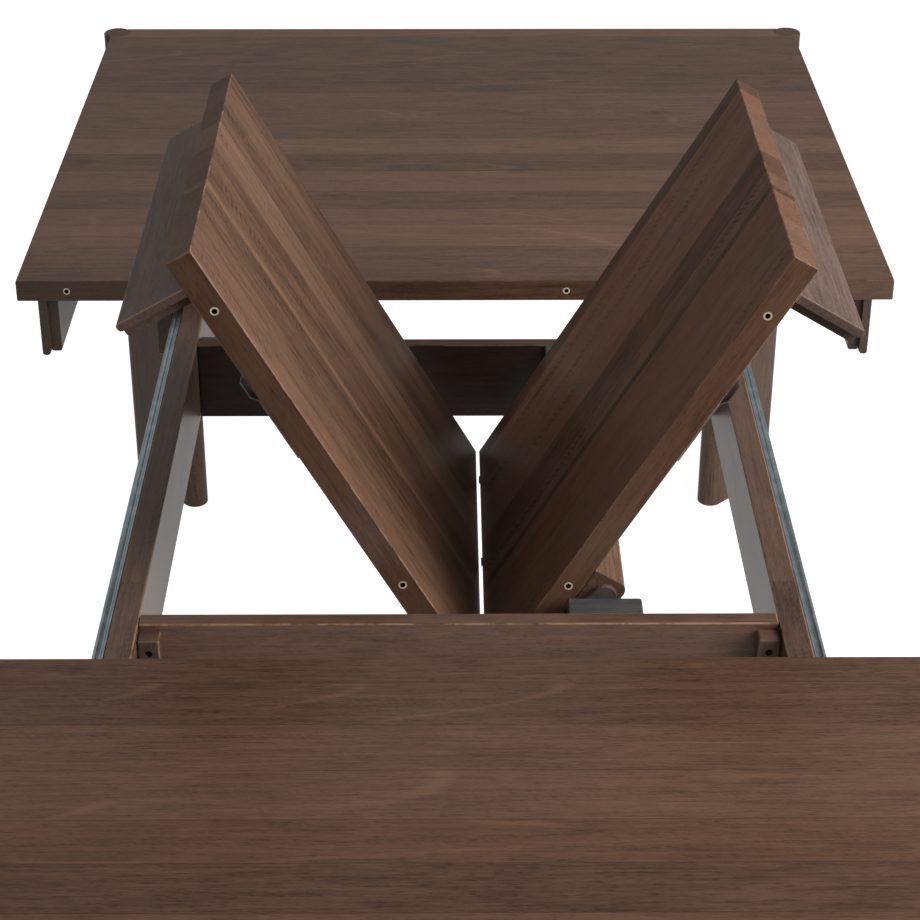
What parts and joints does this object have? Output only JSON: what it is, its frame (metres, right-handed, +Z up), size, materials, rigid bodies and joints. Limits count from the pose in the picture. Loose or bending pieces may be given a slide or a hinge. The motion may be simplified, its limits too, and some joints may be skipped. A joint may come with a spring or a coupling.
{
  "type": "extending dining table",
  "caption": "Rectangular dining table whose top pulls apart on slides for a hinged butterfly leaf, here raised in a V, with slab legs set diagonally into the corners.",
  "frame": {"origin": "on the floor under the middle of the table as it stands, open with the leaf raised", "axes": "+Y along the length the table pulls apart, +X to the right seen from the near end, +Z up"},
  "size_m": [1.0218, 2.5172, 1.0639],
  "materials": {
    "top_wood": "dark walnut stain, semi-gloss lacquer",
    "leg_wood": "dark brown stain, semi-gloss lacquer, straight grain",
    "apron_wood": "dark brown stain, semi-gloss lacquer",
    "frame_wood": "dark red-brown stain, semi-gloss lacquer",
    "leaf_wood": "red-brown walnut stain, semi-gloss lacquer",
    "slide_steel": "blue-grey zinc plating",
    "dark_steel": "black oxide",
    "brass": "turned"
  },
  "bodies": {
    "frame": {"left_side_rail": "frame_wood", "right_side_rail": "frame_wood", "left_slide_track": "slide_steel", "right_slide_track": "slide_steel", "near_cross_rail": "frame_wood", "far_cross_rail": "frame_wood", "near_pivot_block": "frame_wood", "far_pivot_block": "frame_wood", "near_pivot_pin": "dark_steel", "far_pivot_pin": "dark_steel", "near_left_corner_block": "frame_wood", "near_right_corner_block": "frame_wood", "far_left_corner_block": "frame_wood", "far_right_corner_block": "frame_wood"},
    "far_half": {"far_top": "top_wood", "far_end_apron": "apron_wood", "far_left_apron": "apron_wood", "far_right_apron": "apron_wood", "far_left_leg": "leg_wood", "far_right_leg": "leg_wood", "far_left_runner": "frame_wood", "far_right_runner": "frame_wood", "far_left_slide_member": "slide_steel", "far_right_slide_member": "slide_steel", "far_sleeve_1": "brass", "far_sleeve_2": "brass", "far_sleeve_3": "brass", "far_sleeve_4": "brass"},
    "near_half": {"near_top": "top_wood", "near_end_apron": "apron_wood", "near_left_apron": "apron_wood", "near_right_apron": "apron_wood", "near_left_leg": "leg_wood", "near_right_leg": "leg_wood", "near_left_runner": "frame_wood", "near_right_runner": "frame_wood", "near_left_slide_member": "slide_steel", "near_right_slide_member": "slide_steel", "near_pin_1": "slide_steel", "near_pin_2": "slide_steel", "near_pin_3": "slide_steel", "near_pin_4": "slide_steel"},
    "right_leaf": {"right_leaf_panel": "leaf_wood", "right_seam_hinge": "dark_steel", "right_leaf_keeper": "dark_steel", "leaf_bearer": "leaf_wood", "right_leaf_inner_sleeve": "brass", "right_leaf_outer_sleeve": "brass", "right_leaf_inner_pin": "slide_steel", "right_leaf_outer_pin": "slide_steel"},
    "left_leaf": {"left_leaf_panel": "leaf_wood", "left_seam_hinge": "dark_steel", "left_leaf_keeper": "dark_steel", "left_leaf_inner_sleeve": "brass", "left_leaf_outer_sleeve": "brass", "left_leaf_inner_pin": "slide_steel", "left_leaf_outer_pin": "slide_steel"},
    "right_skirt": {"right_leaf_skirt": "apron_wood"},
    "left_skirt": {"left_leaf_skirt": "apron_wood"}
  },
  "joints": [
    {"name": "near_half_slide", "type": "slide", "parent": "frame", "child": "near_half", "axis": [0, 1, 0], "range_m": [0, 0.125]},
    {"name": "far_half_slide", "type": "slide", "parent": "frame", "child": "far_half", "axis": [0, -1, 0], "range_m": [0, 0.125]},
    {"name": "right_leaf_pivot", "type": "hinge", "parent": "frame", "child": "right_leaf", "pos_m": [0.12, 0, 0.7118], "axis": [0, -1, 0], "range_deg": [-59.1, 27.9]},
    {"name": "leaf_seam_fold", "type": "hinge", "parent": "right_leaf", "child": "left_leaf", "pos_m": [0.02328, 0, 0.62984], "axis": [0, -1, 0], "range_deg": [-56.5, 119.6]},
    {"name": "right_skirt_fold", "type": "hinge", "parent": "right_leaf", "child": "right_skirt", "pos_m": [0.27935, 0, 1.00707], "axis": [0, 1, 0], "range_deg": [0, 90]},
    {"name": "left_skirt_fold", "type": "hinge", "parent": "left_leaf", "child": "left_skirt", "pos_m": [-0.22417, 0, 1.01279], "axis": [0, -1, 0], "range_deg": [0, 90]}
  ],
  "couplings": [
    {"joint": "leaf_seam_fold", "follows": "right_leaf_pivot", "ratio": -2.022}
  ]
}
